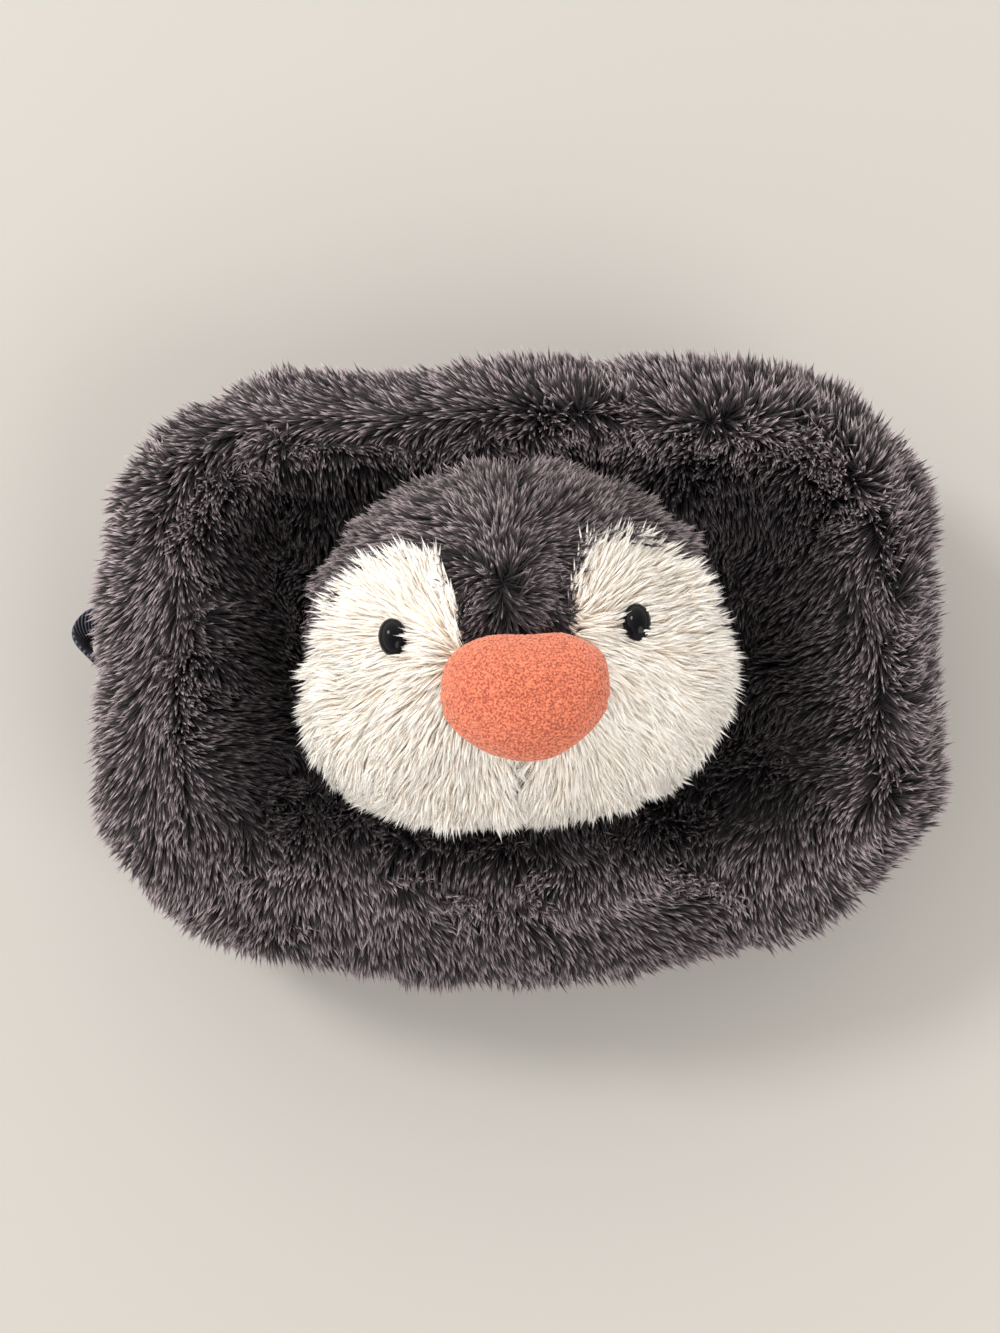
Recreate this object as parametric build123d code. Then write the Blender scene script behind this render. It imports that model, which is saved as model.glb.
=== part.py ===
from build123d import *
import os
from math import atan, atan2, degrees, pi, sqrt, tan

# A plush pouch with a penguin's head on its front, lying on its back, in millimetres.
# +X is to the right of somebody facing the penguin, +Y towards the crown of its head and +Z out
# of its face. The origin is the middle of the flat back that the pouch rests on.

# The padded body: a box with rounded corners, whose upper and lower ends are bowed outwards, and
# a large round from its sides to its panels.
body_w = 256.0
body_h = 186.0
body_d = 84.0
upper_bow = 9.0
lower_bow = 13.0
corner_r = 42.0
rim_r = 30.0
panel_inset = 28.0

# The layers of its wall, from outside in. The fur fabric is its backing with the pressed pile.
fur_t = 5.0
wadding_t = 3.5
lining_t = 0.8
layer_gap = 0.15

# The two halves of the body part at the zip, halfway down, and stay this far from that plane.
half_gap = 0.15
zip_z = body_d / 2

# The zip: its fur edges, tapes, coils and the binding that covers the tapes' seam inside.
slot_w = 10.6
coil_gap = 1.4
coil_w = 2.3
coil_t = 1.6
tape_t = 0.6
tape_reach = 11.2
binding_reach = 8.0
wadding_reach = 11.5
stop_l = 3.0
stop_gap = 0.4

# The slider and its pull.
slider_l = 13.0
slider_w = 9.6
plate_t = 1.0
slider_clear = 0.3
post_l = 3.0
lug_t = 1.1
lug_l = 3.6
pin_r = 0.7
pin_clear = 0.08
eye_wall = 1.0
pull_w = 6.0
pull_l = 24.0
pull_t = 1.2
pull_clear = 0.3

# The woven loop on the left side, just below the zip.
loop_y = 9.0
loop_w = 8.0
loop_t = 1.2
loop_span = 17.0
loop_out = 11.5
loop_clear = 0.3

# The head: a flattened ball, cut off where it is sewn to the front panel.
head_w = 120.0
head_h = 98.0
head_half_d = 42.0
head_lift = 16.0
head_y = -2.5
head_turn = 2.8
skin_t = 5.0

# The two pale cheek panels, seen from the front, measured from the middle of the head.
cheek_bridge_y = -8.0
cheek_brow_x = 12.0
cheek_brow_y = 0.0
cheek_peak_x = 20.0
cheek_peak_y = 25.0
cheek_top_x = 34.0
cheek_top_y = 29.0
cheek_side_x = 51.0
cheek_side_y = 19.0
cheek_side_fall = 30.0

# The beak, a padded fleece shape in an upper and a lower piece.
beak_w = 44.0
beak_h = 33.0
beak_half_d = 15.0
beak_x = 1.5
beak_y = -20.0
beak_sink = 1.0
beak_t = 2.0
beak_seam_y = -2.0

# The safety eyes, each a domed cap on a shank, held by a washer behind the skin.
eye_x = 32.0
eye_y = 0.5
eye_r = 5.6
eye_rise = 4.2
shank_r = 1.6
shank_l = 13.0
shank_clear = 0.2
washer_r = 6.0
washer_t = 1.5
washer_gap = 0.8
pocket_gap = 0.3

big = 3 * (body_w + body_h + body_d)

fur_in = fur_t
tape_out = fur_t + layer_gap
tape_in = tape_out + tape_t
wadding_in = tape_out + wadding_t
lining_out = wadding_in + layer_gap
lining_in = lining_out + lining_t
left_x = -body_w / 2
upper_corner_y = body_h / 2 - upper_bow
lower_corner_y = -(body_h / 2 - lower_bow)
head_z = body_d + head_lift


def rounding_l(bow):
    """How much of a straight side the rounding of a corner takes up, beside a bowed end."""
    return corner_r / tan(pi / 4 + atan(2 * bow / body_w))


# The zip runs from one lower corner, round the upper end, to the other lower corner.
zip_end_y = lower_corner_y + rounding_l(lower_bow)
straight_top_y = upper_corner_y - rounding_l(upper_bow)


def outline(inset):
    """The body's outline seen from the front, drawn in by one distance."""
    right_x = -left_x
    upper = ThreePointArc((left_x, upper_corner_y), (0, body_h / 2), (right_x, upper_corner_y))
    lower = ThreePointArc((right_x, lower_corner_y), (0, -body_h / 2), (left_x, lower_corner_y))
    right = Line((right_x, upper_corner_y), (right_x, lower_corner_y))
    left = Line((left_x, lower_corner_y), (left_x, upper_corner_y))
    face = make_face(upper + right + lower + left)
    face = fillet(face.vertices(), corner_r)
    if inset:
        face = offset(face, amount=-inset)
    return face


def pillow(inset):
    """The body's rounded box, drawn in by one distance all over."""
    block = Pos(0, 0, inset) * extrude(outline(inset), amount=body_d - 2 * inset)
    levels = block.edges().group_by(Axis.Z)
    return fillet(levels[0] + levels[-1], rim_r - inset)


def layer(outside, inside):
    """One layer of the body's wall, between two depths."""
    return pillow(outside) - pillow(inside)


def band(low, high, from_y=-big / 2):
    """All the space between two heights, from one y on."""
    middle = (low + high) / 2
    return Pos(0, from_y + big / 2, middle) * Box(big, big, high - low)


def half(side, gap=half_gap):
    """The space on one side of the zip's plane: side is 1 for the lid and -1 for the tub."""
    ends = sorted((zip_z + side * gap, zip_z + side * big / 2))
    return band(ends[0], ends[1])


def zip_band(side, near, far, from_y=zip_end_y):
    """A band beside the zip on one side of its plane, only where the zip runs."""
    ends = sorted((zip_z + side * near, zip_z + side * far))
    return band(ends[0], ends[1], from_y)


def panel_prism(inset):
    """What lies inside the seam of a front or back panel."""
    return extrude(outline(inset), amount=big, both=True)


def shell_half(outside, inside, side, slot):
    """Half of one layer, held back from the zip's plane where the zip runs."""
    wall = layer(outside, inside) & half(side)
    return wall - zip_band(side, 0, slot)


def fur_pieces(side):
    """The panel and the gusset of one half."""
    wall = shell_half(0, fur_in, side, slot_w / 2)
    panel = wall & panel_prism(panel_inset) & half(side, body_d / 4)
    gusset = wall - (panel_prism(panel_inset - layer_gap) & half(side, body_d / 4))
    return panel, gusset


def zip_side(side):
    """The tape, the coil and the binding on one side of the zip."""
    tape = layer(tape_out, tape_in) & zip_band(side, coil_gap / 2, tape_reach)
    coil_far = coil_gap / 2 + coil_w
    coil_run = zip_band(side, coil_gap / 2, coil_far, zip_end_y + stop_l + layer_gap)
    coil = layer(fur_in - coil_t, fur_in) & coil_run
    binding = layer(tape_in + layer_gap, wadding_in) & zip_band(side, binding_reach, tape_reach)
    return tape, coil, binding


def zip_stops():
    """The stop at each end of the zip, on the tub's tape."""
    low = zip_z - coil_gap / 2 - coil_w
    high = zip_z - coil_gap / 2
    ends = band(low, high, zip_end_y) - band(low - 1, high + 1, zip_end_y + stop_l)
    return layer(fur_in - coil_t, fur_in) & ends


# The slider rests at the lower end of the straight left side, closed, and slides up it.
slider_y = zip_end_y + stop_l + stop_gap + slider_l / 2
slider_travel = straight_top_y - slider_l / 2 - stop_gap - slider_y
outer_plate_in = fur_in - coil_t - slider_clear
outer_plate_out = outer_plate_in - plate_t
inner_plate_out = tape_in + slider_clear
inner_plate_in = inner_plate_out + plate_t
eye_out_r = pin_r + pin_clear + eye_wall
pin_depth = outer_plate_out - slider_clear / 2 - eye_out_r


def slab(depth_a, depth_b, y, length, width):
    """A block on the left side of the body, between two depths below its surface."""
    x = left_x + (depth_a + depth_b) / 2
    return Pos(x, y, zip_z) * Box(abs(depth_b - depth_a), length, width)


def slider():
    """Two plates joined by a post between the coils, with lugs and a pin for the pull."""
    post_y = slider_y + slider_l / 2 - post_l / 2
    body = slab(outer_plate_out, outer_plate_in, slider_y, slider_l, slider_w)
    body += slab(inner_plate_out, inner_plate_in, slider_y, slider_l, slider_w)
    body += slab(outer_plate_in, inner_plate_out, post_y, post_l, coil_gap - 2 * slider_clear)
    lug_z = pull_w / 2 + pull_clear + lug_t / 2
    for side in (-1, 1):
        lug = slab(pin_depth - pin_r, outer_plate_out, slider_y, lug_l, lug_t)
        body += Pos(0, 0, side * lug_z) * lug
    pin = Cylinder(pin_r, 2 * lug_z + lug_t)
    body += Pos(left_x + pin_depth, slider_y, zip_z) * pin
    return body


def pull():
    """A flat tab that lies along the zip, with an eye round the slider's pin."""
    x = left_x + pin_depth
    tab = Pos(x, slider_y + pull_l / 2, zip_z) * Box(pull_t, pull_l, pull_w)
    tab = fillet(tab.edges().filter_by(Axis.X).group_by(Axis.Y)[-1], pull_w / 3)
    eye = Pos(x, slider_y, zip_z) * Cylinder(eye_out_r, pull_w)
    hole = Pos(x, slider_y, zip_z) * Cylinder(pin_r + pin_clear, 2 * pull_w)
    return tab + eye - hole


loop_z = zip_z - slot_w / 2 - loop_w / 2
loop_root_x = left_x - loop_clear - loop_w / 2


def side_loop():
    """A woven tape bent into a loop, rounded at its root so that it can flop up and down."""
    outer_r = loop_span / 2
    tip_x = left_x - loop_out
    arch_x = tip_x + outer_r
    ring = Cylinder(outer_r, loop_w) - Cylinder(outer_r - loop_t, loop_w)
    ring = ring & Pos(-big / 2, 0, 0) * Box(big, big, big)
    tape = Pos(arch_x, loop_y, loop_z) * ring
    leg_l = loop_root_x + loop_w / 2 - arch_x
    for side in (-1, 1):
        leg_y = loop_y + side * (outer_r - loop_t / 2)
        tape += Pos(arch_x + leg_l / 2, leg_y, loop_z) * Box(leg_l, loop_t, loop_w)
    root = Pos(loop_root_x, loop_y, loop_z) * Rot(90, 0, 0) * Cylinder(loop_w / 2, big)
    outside = Pos(loop_root_x - big / 2, loop_y, loop_z) * Box(big, big, big)
    return tape & (root + outside)


def place_on_head(shape):
    """Moves a shape from the head's own axes to its place on the front."""
    return Pos(0, head_y, head_z) * Rot(0, 0, head_turn) * shape


def ball(inset):
    """The head's flattened ball in its own axes, drawn in by one distance."""
    return scale(Sphere(1), by=(head_w / 2 - inset, head_h / 2 - inset, head_half_d - inset))


def above_panel(shape):
    """Keeps what is in front of the front panel."""
    floor = -head_lift + layer_gap
    return shape & Pos(0, 0, floor + big / 2) * Box(big, big, big)


def cheek_prism(side, gap):
    """What lies inside the seam of one cheek, seen from the front."""
    x0 = side * gap
    down_y = -head_h
    out_x = side * head_w
    points = [
        (x0, down_y),
        (x0, cheek_bridge_y - gap),
        (side * (cheek_brow_x + gap), cheek_brow_y - gap),
        (side * (cheek_peak_x + gap), cheek_peak_y - gap),
    ]
    top = (side * cheek_top_x, cheek_top_y - gap)
    flank = (side * (cheek_side_x - gap), cheek_side_y - gap)
    low = (out_x, cheek_side_y - cheek_side_fall - gap)
    rise = Polyline(*points)
    arch = ThreePointArc(points[-1], top, flank)
    rest = Polyline(flank, low, (out_x, down_y), points[0])
    return extrude(make_face(rise + arch + rest), amount=big, both=True)


def head_height(x, y, inset=0.0):
    """How far in front of its middle the head's surface is, at one point of the face."""
    a = head_w / 2 - inset
    b = head_h / 2 - inset
    return (head_half_d - inset) * sqrt(1 - (x / a) ** 2 - (y / b) ** 2)


def eye_place(side):
    """The middle of an eye on the skin, facing straight out of the head there."""
    x = side * eye_x
    z = head_height(x, eye_y)
    nx = x / (head_w / 2) ** 2
    ny = eye_y / (head_h / 2) ** 2
    nz = z / head_half_d ** 2
    across = degrees(atan2(nx, nz))
    up = degrees(atan2(ny, sqrt(nx ** 2 + nz ** 2)))
    return Pos(x, eye_y, z) * Rot(0, across, 0) * Rot(-up, 0, 0)


def eye(side):
    """A domed cap with its shank, in the head's axes."""
    dome_r = (eye_r ** 2 + eye_rise ** 2) / (2 * eye_rise)
    cap = Pos(0, 0, eye_rise - dome_r) * Sphere(dome_r)
    cap = cap & Pos(0, 0, big / 2) * Box(big, big, big)
    shank = Pos(0, 0, -shank_l / 2) * Cylinder(shank_r, shank_l)
    return eye_place(side) * Pos(0, 0, layer_gap) * (cap + shank)


def washer(side):
    """The washer that grips a shank behind the skin."""
    depth = skin_t + washer_gap + washer_t / 2
    ring = Cylinder(washer_r, washer_t) - Cylinder(shank_r + shank_clear / 2, washer_t)
    return eye_place(side) * Pos(0, 0, -depth) * ring


def eye_pocket(side):
    """The room that an eye's shank and washer take up in the filling."""
    shank_room = Cylinder(shank_r + pocket_gap, 2 * (shank_l + pocket_gap))
    depth = skin_t + washer_gap + washer_t + pocket_gap
    washer_room = Pos(0, 0, -depth / 2) * Cylinder(washer_r + pocket_gap, depth)
    return eye_place(side) * (shank_room + washer_room)


def shank_hole(side):
    """The hole in the skin for an eye's shank."""
    return eye_place(side) * Cylinder(shank_r + shank_clear, 4 * skin_t)


def beak_ball(inset):
    """The beak's rounded shape in the head's axes, drawn in by one distance."""
    z = head_height(beak_x, beak_y) + beak_sink
    sides = (beak_w / 2 - inset, beak_h / 2 - inset, beak_half_d - inset)
    return Pos(beak_x, beak_y, z) * scale(Sphere(1), by=sides)


def beak_half(shape, side):
    """The part of the beak above its mouth line for side 1, or below it for side -1."""
    seam_y = beak_y + beak_seam_y + side * layer_gap / 2
    return shape & Pos(0, seam_y + side * big / 2, 0) * Box(big, big, big)


def head_pieces():
    """The head's skin panels, filling and beak."""
    skin = above_panel(ball(0) - ball(skin_t))
    for side in (-1, 1):
        skin = skin - shank_hole(side)
    seam = layer_gap / 2
    pieces = {}
    crown = skin
    for side, name in ((-1, "cheek_left"), (1, "cheek_right")):
        pieces[name] = skin & cheek_prism(side, seam)
        crown = crown - cheek_prism(side, -seam)
    pieces["crown_panel"] = crown
    filling = above_panel(ball(skin_t + layer_gap))
    for side in (-1, 1):
        filling = filling - eye_pocket(side)
    pieces["head_filling"] = filling
    keep_off = ball(-layer_gap)
    beak_skin = beak_ball(0) - beak_ball(beak_t) - keep_off
    pieces["beak_upper"] = beak_half(beak_skin, 1)
    pieces["beak_lower"] = beak_half(beak_skin, -1)
    pieces["beak_filling"] = beak_ball(beak_t + layer_gap) - keep_off
    for side, name in ((-1, "left"), (1, "right")):
        pieces["eye_" + name] = eye(side)
        pieces["eye_washer_" + name] = washer(side)
    return {name: place_on_head(shape) for name, shape in pieces.items()}


def body_pieces():
    """The two halves of the body with their layers and their sides of the zip."""
    pieces = {}
    for side, half_name, face, edge in ((-1, "tub", "back", "lower"), (1, "lid", "front", "upper")):
        panel, gusset = fur_pieces(side)
        tape, coil, binding = zip_side(side)
        pieces[face + "_panel"] = panel
        pieces[face + "_gusset"] = gusset
        pieces[half_name + "_wadding"] = shell_half(tape_out, wadding_in, side, wadding_reach)
        pieces[half_name + "_lining"] = shell_half(lining_out, lining_in, side, binding_reach)
        pieces[half_name + "_binding"] = binding
        pieces["zip_tape_" + edge] = tape
        pieces["zip_coil_" + edge] = coil
    pieces["zip_stops"] = zip_stops()
    return pieces


def main():
    os.makedirs("parts", exist_ok=True)
    pieces = body_pieces()
    pieces.update(head_pieces())
    pieces["zip_slider"] = slider()
    pieces["zip_pull"] = pull()
    pieces["side_loop"] = side_loop()
    for name, shape in pieces.items():
        export_step(shape, "parts/" + name + ".step")
    print("zip slider: middle at y", slider_y, "travel", slider_travel, "pull pin at x", left_x + pin_depth)
    print("loop root at", loop_root_x, loop_y, loop_z)


main()
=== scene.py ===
"""A plush penguin pouch: its fur, head, beak, eyes, woven loop, zip and lining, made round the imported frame."""
import math

import bmesh
import bpy
import numpy as np
from mathutils import Matrix, Vector, noise


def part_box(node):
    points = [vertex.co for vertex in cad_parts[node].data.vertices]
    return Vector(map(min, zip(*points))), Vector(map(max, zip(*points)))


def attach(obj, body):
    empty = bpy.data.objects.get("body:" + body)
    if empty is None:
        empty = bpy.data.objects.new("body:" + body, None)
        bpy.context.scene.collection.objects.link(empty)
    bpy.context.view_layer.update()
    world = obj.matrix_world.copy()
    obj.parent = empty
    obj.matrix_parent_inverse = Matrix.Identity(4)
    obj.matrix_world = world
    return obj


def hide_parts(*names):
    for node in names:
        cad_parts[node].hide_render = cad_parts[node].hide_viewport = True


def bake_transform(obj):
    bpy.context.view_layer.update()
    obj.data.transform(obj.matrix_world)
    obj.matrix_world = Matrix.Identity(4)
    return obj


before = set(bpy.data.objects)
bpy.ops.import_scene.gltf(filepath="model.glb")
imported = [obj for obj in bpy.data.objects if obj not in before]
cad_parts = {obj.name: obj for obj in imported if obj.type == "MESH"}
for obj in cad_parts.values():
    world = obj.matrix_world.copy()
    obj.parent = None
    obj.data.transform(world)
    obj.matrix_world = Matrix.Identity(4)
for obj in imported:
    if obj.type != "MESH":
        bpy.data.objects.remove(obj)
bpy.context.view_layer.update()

MM = 0.001

# ---------------------------------------------------------------- places, from the frame
_, front_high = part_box("front_gusset")
HALF_W = front_high.x
HALF_H = front_high.y
DEPTH = front_high.z
ZIP_Z = DEPTH / 2
left_low, left_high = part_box("cheek_left")
_, right_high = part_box("cheek_right")
_, crown_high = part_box("crown_panel")
HEAD_HALF_W = (right_high.x - left_low.x) / 2
HEAD_HALF_H = (crown_high.y - left_low.y) / 2
HEAD_HALF_D = 42 * MM
HEAD_TURN = math.radians(2.8)
HEAD_AT = Vector((-2.0 * MM, 0.5 * MM + (crown_high.y + left_low.y) / 2, left_high.z - HEAD_HALF_D))
FRAME_TO_HEAD = Matrix.Rotation(-HEAD_TURN, 4, "Z") @ Matrix.Translation(-HEAD_AT)
HEAD_TO_FRAME = FRAME_TO_HEAD.inverted()

# ---------------------------------------------------------------- the body's form
CORNER_R = 50 * MM
UPPER_BOW = 11 * MM
LOWER_BOW = 19 * MM
RIM_R = 30 * MM
# Where the soft body is pressed in, or stands out: the way from its middle, how deep in millimetres, and
# how wide. Both angles are in degrees, from the right side round by the upper end.
SQUASHED = ((0, 5.5, 34), (-34, 5.0, 13), (28, 2.0, 12), (150, 6.0, 15), (112, 7.0, 26), (52, 2.5, 14),
            (-90, -3.5, 28), (186, 3.0, 22), (-48, 3.0, 13), (-140, 1.0, 10))
SQUASH_REACH = 150 * MM
SEAM_INSET = 26 * MM
SEAM_SHIFT = 6 * MM
SKIN_DEPTH = 4.2 * MM
SLOT_HALF = 5.3 * MM
SIDE_STEPS = 26
CORNER_STEPS = 16
END_STEPS = 44
zip_low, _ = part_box("zip_tape_upper")
ZIP_END_Y = zip_low.y


def smooth(low, high, value):
    """0 below low, 1 above high, and an even S between them."""
    t = np.clip((value - low) / (high - low), 0, 1)
    return t * t * (3 - 2 * t)


def bowed(x, y):
    """Bows the body's two ends outwards."""
    bow = np.where(y > 0, UPPER_BOW, LOWER_BOW)
    return y * (1 - bow / HALF_H * (x / HALF_W) ** 2)


def outline(inset, corner=CORNER_R):
    """The body's outline, drawn in by inset, as points from the middle of the right side round."""
    half_w = HALF_W - inset
    half_h = max(HALF_H - inset, 0.0)
    r = min(max(corner - inset * 0.75, 8 * MM), half_h if half_h > 0 else 0.0)
    quarter = [(half_w, (half_h - r) * k / SIDE_STEPS * 2) for k in range(SIDE_STEPS // 2)]
    for k in range(CORNER_STEPS):
        a = math.pi / 2 * k / CORNER_STEPS
        quarter.append((half_w - r + r * math.cos(a), half_h - r + r * math.sin(a)))
    for k in range(END_STEPS // 2):
        quarter.append(((half_w - r) * (1 - k / END_STEPS * 2), half_h))
    first = np.array(quarter)
    second = first[::-1] * (-1, 1)
    top = np.vstack([first, [(0.0, half_h)], second])
    points = np.vstack([top[:-1], top[::-1][:-1] * (1, -1)])
    points[:, 1] = bowed(points[:, 0], points[:, 1])
    around = np.degrees(np.arctan2(points[:, 1], points[:, 0]))
    for middle, drop, spread in SQUASHED:
        apart = (around - middle + 180) % 360 - 180
        points *= (1 - drop * MM / SQUASH_REACH * np.exp(-(apart / spread) ** 2))[:, None]
    return points


def added(name, data):
    """A new object in the scene, at the origin."""
    obj = bpy.data.objects.new(name, data)
    bpy.context.scene.collection.objects.link(obj)
    return obj


def object_from(name, bm):
    """A bmesh as a new object at the origin."""
    mesh = bpy.data.meshes.new(name)
    bm.to_mesh(mesh)
    bm.free()
    return added(name, mesh)


def mesh_of(obj):
    """An object's mesh to work on, with its vertices numbered."""
    bm = bmesh.new()
    bm.from_mesh(obj.data)
    bm.verts.index_update()
    return bm


def put_back(bm, obj):
    bm.to_mesh(obj.data)
    bm.free()


def cut(bm, place, way, drop=True):
    """Cuts through every face at a plane, and drops what lies beyond it."""
    bmesh.ops.bisect_plane(bm, geom=bm.verts[:] + bm.edges[:] + bm.faces[:], plane_co=place, plane_no=way,
                           clear_outer=drop)


def thicken(obj, thick, offset=0):
    """Gives a skin its thickness: inwards with an offset of -1, to both sides with 0."""
    solid = obj.modifiers.new("thick", "SOLIDIFY")
    solid.thickness = thick
    solid.offset = offset


def soft_noise(points, size, shift=Vector((0, 0, 0)), finer=1.0):
    """Soft noise about nought at each point, its lumps about as wide as size."""
    return np.array([noise.noise(Vector(p) / size * finer + shift) for p in points])


def points_of(obj):
    co = np.empty(len(obj.data.vertices) * 3)
    obj.data.vertices.foreach_get("co", co)
    return co.reshape(-1, 3)


def set_points(obj, co):
    obj.data.vertices.foreach_set("co", np.ascontiguousarray(co).reshape(-1))
    obj.data.update()


def normals_of(obj):
    no = np.empty(len(obj.data.vertices) * 3)
    obj.data.vertex_normals.foreach_get("vector", no)
    return no.reshape(-1, 3)


def lofted(name, rings):
    """A skin through closed rings of points: a grid wrapped round, its seam and ends merged."""
    around = len(rings[0])
    bm = bmesh.new()
    bmesh.ops.create_grid(bm, x_segments=around, y_segments=len(rings) - 1, size=1)
    layer = bm.verts.layers.float.new("ring")
    table = np.array([np.vstack([ring, ring[:1]]) for ring in rings])
    for v in bm.verts:
        i = round((v.co.x + 1) / 2 * around)
        j = round((v.co.y + 1) / 2 * (len(rings) - 1))
        v[layer] = j
        v.co = table[j, i]
    bmesh.ops.remove_doubles(bm, verts=bm.verts, dist=0.02 * MM)
    loose = [e for e in bm.edges if not e.link_faces]
    bmesh.ops.delete(bm, geom=loose, context="EDGES")
    bmesh.ops.recalc_face_normals(bm, faces=bm.faces)
    return object_from(name, bm)


def is_open(y):
    """1 where the zip runs and 0 round the hinge."""
    return smooth(ZIP_END_Y - 12 * MM, ZIP_END_Y + 1 * MM, y)


def ring_at(inset, z, foot=0.0):
    """A closed ring. The seam sits further out on the right, and a foot ring closes up round the hinge."""
    flat = outline(inset)
    bell = math.exp(-((inset - SEAM_INSET) / (14 * MM)) ** 2)
    flat[:, 0] += SEAM_SHIFT * bell * smooth(30 * MM, 90 * MM, flat[:, 0])
    return np.column_stack([flat, z - foot * (1 - is_open(flat[:, 1]))])


def rumple(obj, amount, size, seed, where=None, along=1.0):
    """Pushes a skin in and out with soft noise, less where the mask is small."""
    co = points_of(obj)
    places = co * (along, 1, 1)
    shift = Vector((seed * 1.7, seed * 0.9, seed * 2.3))
    push = soft_noise(places, size, shift) + 0.5 * soft_noise(places, size, -shift, 2.1)
    mask = 1.0 if where is None else where(co)
    set_points(obj, co + normals_of(obj) * (push * amount * mask)[:, None])


# ---------------------------------------------------------------- the walls of the body
PANEL_SAG = 12 * MM
GROOVE = 0.8 * MM
BACK_REST = 3.0 * MM


def panel_height(inset):
    """The front panel's height at a distance in from the sides: a groove at its seam, then a sag."""
    from_seam = inset - SEAM_INSET
    groove = GROOVE * math.exp(-(from_seam / (3.5 * MM)) ** 2)
    crest = 1.5 * MM * math.exp(-((from_seam - 8 * MM) / (6 * MM)) ** 2)
    sag = PANEL_SAG * float(smooth(4 * MM, 34 * MM, from_seam))
    return DEPTH - SKIN_DEPTH - groove + crest - sag


def rim_rings(upper):
    """Insets and heights over the rounded rim, from the panel's seam to the straight wall."""
    r = RIM_R - SKIN_DEPTH
    start = math.asin((RIM_R - SEAM_INSET) / r)
    rings = []
    for k in range(12):
        a = start + (math.pi / 2 - start) * k / 11
        from_seam = (a - start) * r
        groove = GROOVE * math.exp(-(from_seam / (3.5 * MM)) ** 2) if upper else 0.0
        puff = 1.5 * MM * math.sin(math.pi * k / 11) if upper else 0.0
        inset = RIM_R - (r + puff) * math.sin(a)
        rings.append((inset, DEPTH - RIM_R + (r + puff) * math.cos(a) - groove, 0.0))
    return rings


def wall_rings(upper=True):
    """Insets and heights of the lid's gusset from its seam to its hem, which comes down to the hinge."""
    rings = rim_rings(upper)
    foot = ZIP_Z + SLOT_HALF
    last = DEPTH - RIM_R
    for k in range(1, 5):
        rings.append((SKIN_DEPTH, last + (foot + 0.8 * MM - last) * k / 4, SLOT_HALF * k / 4))
    rings.append((SKIN_DEPTH + 0.1 * MM, foot + 0.25 * MM, SLOT_HALF))
    rings.append((SKIN_DEPTH + 0.6 * MM, foot + 0.05 * MM, SLOT_HALF))
    return rings


def mirrored(rings):
    """The same rings for the tub, turned over about the zip's plane."""
    return [(inset, DEPTH - z, -foot) for inset, z, foot in rings]


def lid_rings():
    insets = list(np.arange(HALF_H, SEAM_INSET + 1 * MM, -3 * MM))
    return [(inset, panel_height(inset), 0.0) for inset in insets] + wall_rings()


def tub_rings():
    insets = list(np.arange(HALF_H, SEAM_INSET + 1 * MM, -6 * MM))
    return [(inset, BACK_REST, 0.0) for inset in insets] + mirrored(wall_rings(upper=False))


def made(name, rings):
    return lofted(name, [ring_at(*ring) for ring in rings])


# ---------------------------------------------------------------- nodes
def connect(tree, socket, value):
    """Sets an input to a value, or links another node's output to it."""
    if isinstance(value, bpy.types.NodeSocket):
        tree.links.new(value, socket)
    else:
        socket.default_value = value


def fill_in(tree, target, **inputs):
    """Connects a node's inputs by name."""
    for key, value in inputs.items():
        name = key.replace("_", " ")
        connect(tree, next(s for s in target.inputs if s.name == name and s.enabled), value)


def tree_node(tree, kind, settings=None, **inputs):
    """Adds a node, sets its properties, and connects its inputs by name."""
    new = tree.nodes.new(kind)
    for key, value in (settings or {}).items():
        setattr(new, key, value)
    fill_in(tree, new, **inputs)
    return new


def out(new, index=0):
    return [s for s in new.outputs if s.enabled][index]


def maths(tree, kind, operation, a, b):
    """The outcome of an operation on two values, numbers or vectors."""
    new = tree_node(tree, kind, {"operation": operation})
    connect(tree, new.inputs[0], a)
    connect(tree, new.inputs[1], b)
    return out(new)


def numbers(tree, operation, a, b):
    return maths(tree, "ShaderNodeMath", operation, a, b)


def vectors(tree, operation, a, b):
    return maths(tree, "ShaderNodeVectorMath", operation, a, b)


def scaled(tree, vector, factor):
    return out(tree_node(tree, "ShaderNodeVectorMath", {"operation": "SCALE"}, Vector=vector, Scale=factor))


def map_range(tree, value, **limits):
    return out(tree_node(tree, "ShaderNodeMapRange", None, Value=value, **limits))


def named(tree, name, kind):
    return out(tree_node(tree, "GeometryNodeInputNamedAttribute", {"data_type": kind}, Name=name))


def random_value(tree, low, high, seed, kind="FLOAT"):
    """A random number or vector for each point, between two limits."""
    return out(tree_node(tree, "FunctionNodeRandomValue", {"data_type": kind}, Min=low, Max=high, Seed=seed))


# ---------------------------------------------------------------- materials
def new_material(name):
    """A material, its tree, and the shader in it."""
    material = bpy.data.materials.new(name)
    material.use_nodes = True
    return material, material.node_tree, material.node_tree.nodes["Principled BSDF"]


def object_noise(tree, scale, detail=2.0):
    """Noise read from an object's own coordinates."""
    place = tree_node(tree, "ShaderNodeTexCoord").outputs["Object"]
    return tree_node(tree, "ShaderNodeTexNoise", None, Vector=place, Scale=scale, Detail=detail).outputs["Fac"]


def mixed(tree, factor, dark, light):
    """A colour between two others."""
    return out(tree_node(tree, "ShaderNodeMix", {"data_type": "RGBA"}, Factor=factor, A=(*dark, 1), B=(*light, 1)))


def ramp(tree, factor, stops, interpolation="LINEAR"):
    """A colour along a ramp, from its stops' places and colours."""
    new = tree_node(tree, "ShaderNodeValToRGB", None, Fac=factor)
    new.color_ramp.interpolation = interpolation
    places = new.color_ramp.elements
    for _ in range(2, len(stops)):
        places.new(0.5)
    for place, (position, color) in zip(places, stops):
        place.position = position
        place.color = (*color, 1)
    return new.outputs["Color"]


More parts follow.
